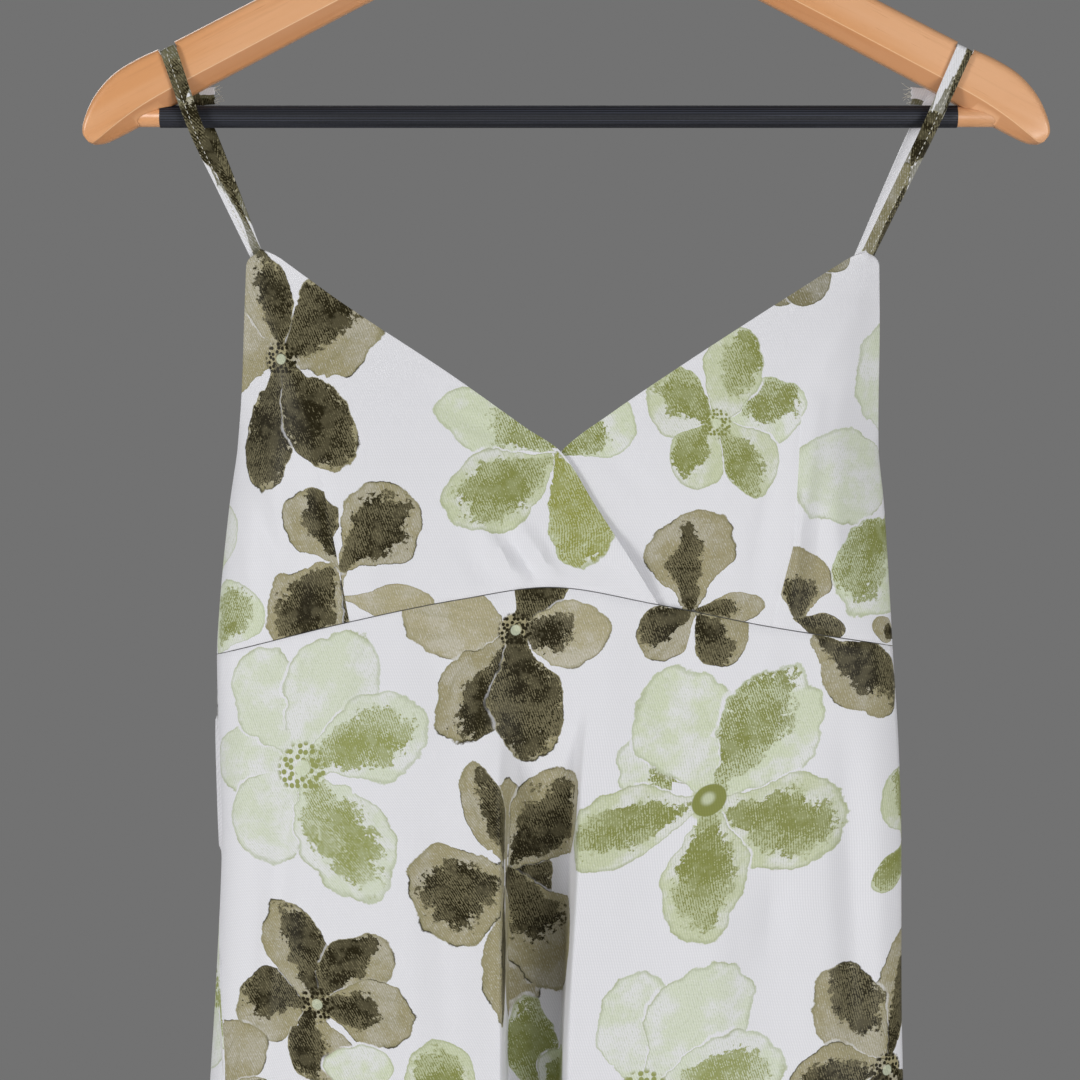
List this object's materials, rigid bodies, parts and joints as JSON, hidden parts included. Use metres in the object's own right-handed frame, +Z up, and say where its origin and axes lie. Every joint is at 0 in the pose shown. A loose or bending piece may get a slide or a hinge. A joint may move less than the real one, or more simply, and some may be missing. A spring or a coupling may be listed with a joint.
{
  "type": "sleeveless dress on a wooden hanger",
  "caption": "Sleeveless crossover dress with thin straps, empire seam and a large flower print, hanging on a wooden hanger with a bar",
  "frame": {"origin": "inside top of the hanger's hook, where a rail carries it", "axes": "+X to the viewer's right, +Y from the front of the dress to its back, +Z up"},
  "size_m": [0.444, 0.1124, 1.1271],
  "materials": {
    "print_cloth": "smooth satin-backed twill with a large flower print",
    "strap_cloth": "narrow folded bands of the print cloth",
    "wood": "clear satin lacquer",
    "black_sleeve": "finely ribbed, matt",
    "steel": "plated wire"
  },
  "bodies": {
    "root": {"cup_left": "print_cloth", "cup_right": "print_cloth", "bodice_back": "print_cloth", "skirt_front": "print_cloth", "skirt_back": "print_cloth", "strap_left": "strap_cloth", "strap_right": "strap_cloth", "strap_tail_left": "strap_cloth", "strap_tail_right": "strap_cloth", "hanger_wood": "wood", "hanger_bar": "wood", "bar_sleeve": "black_sleeve", "hanger_hook": "steel"}
  },
  "joints": []
}
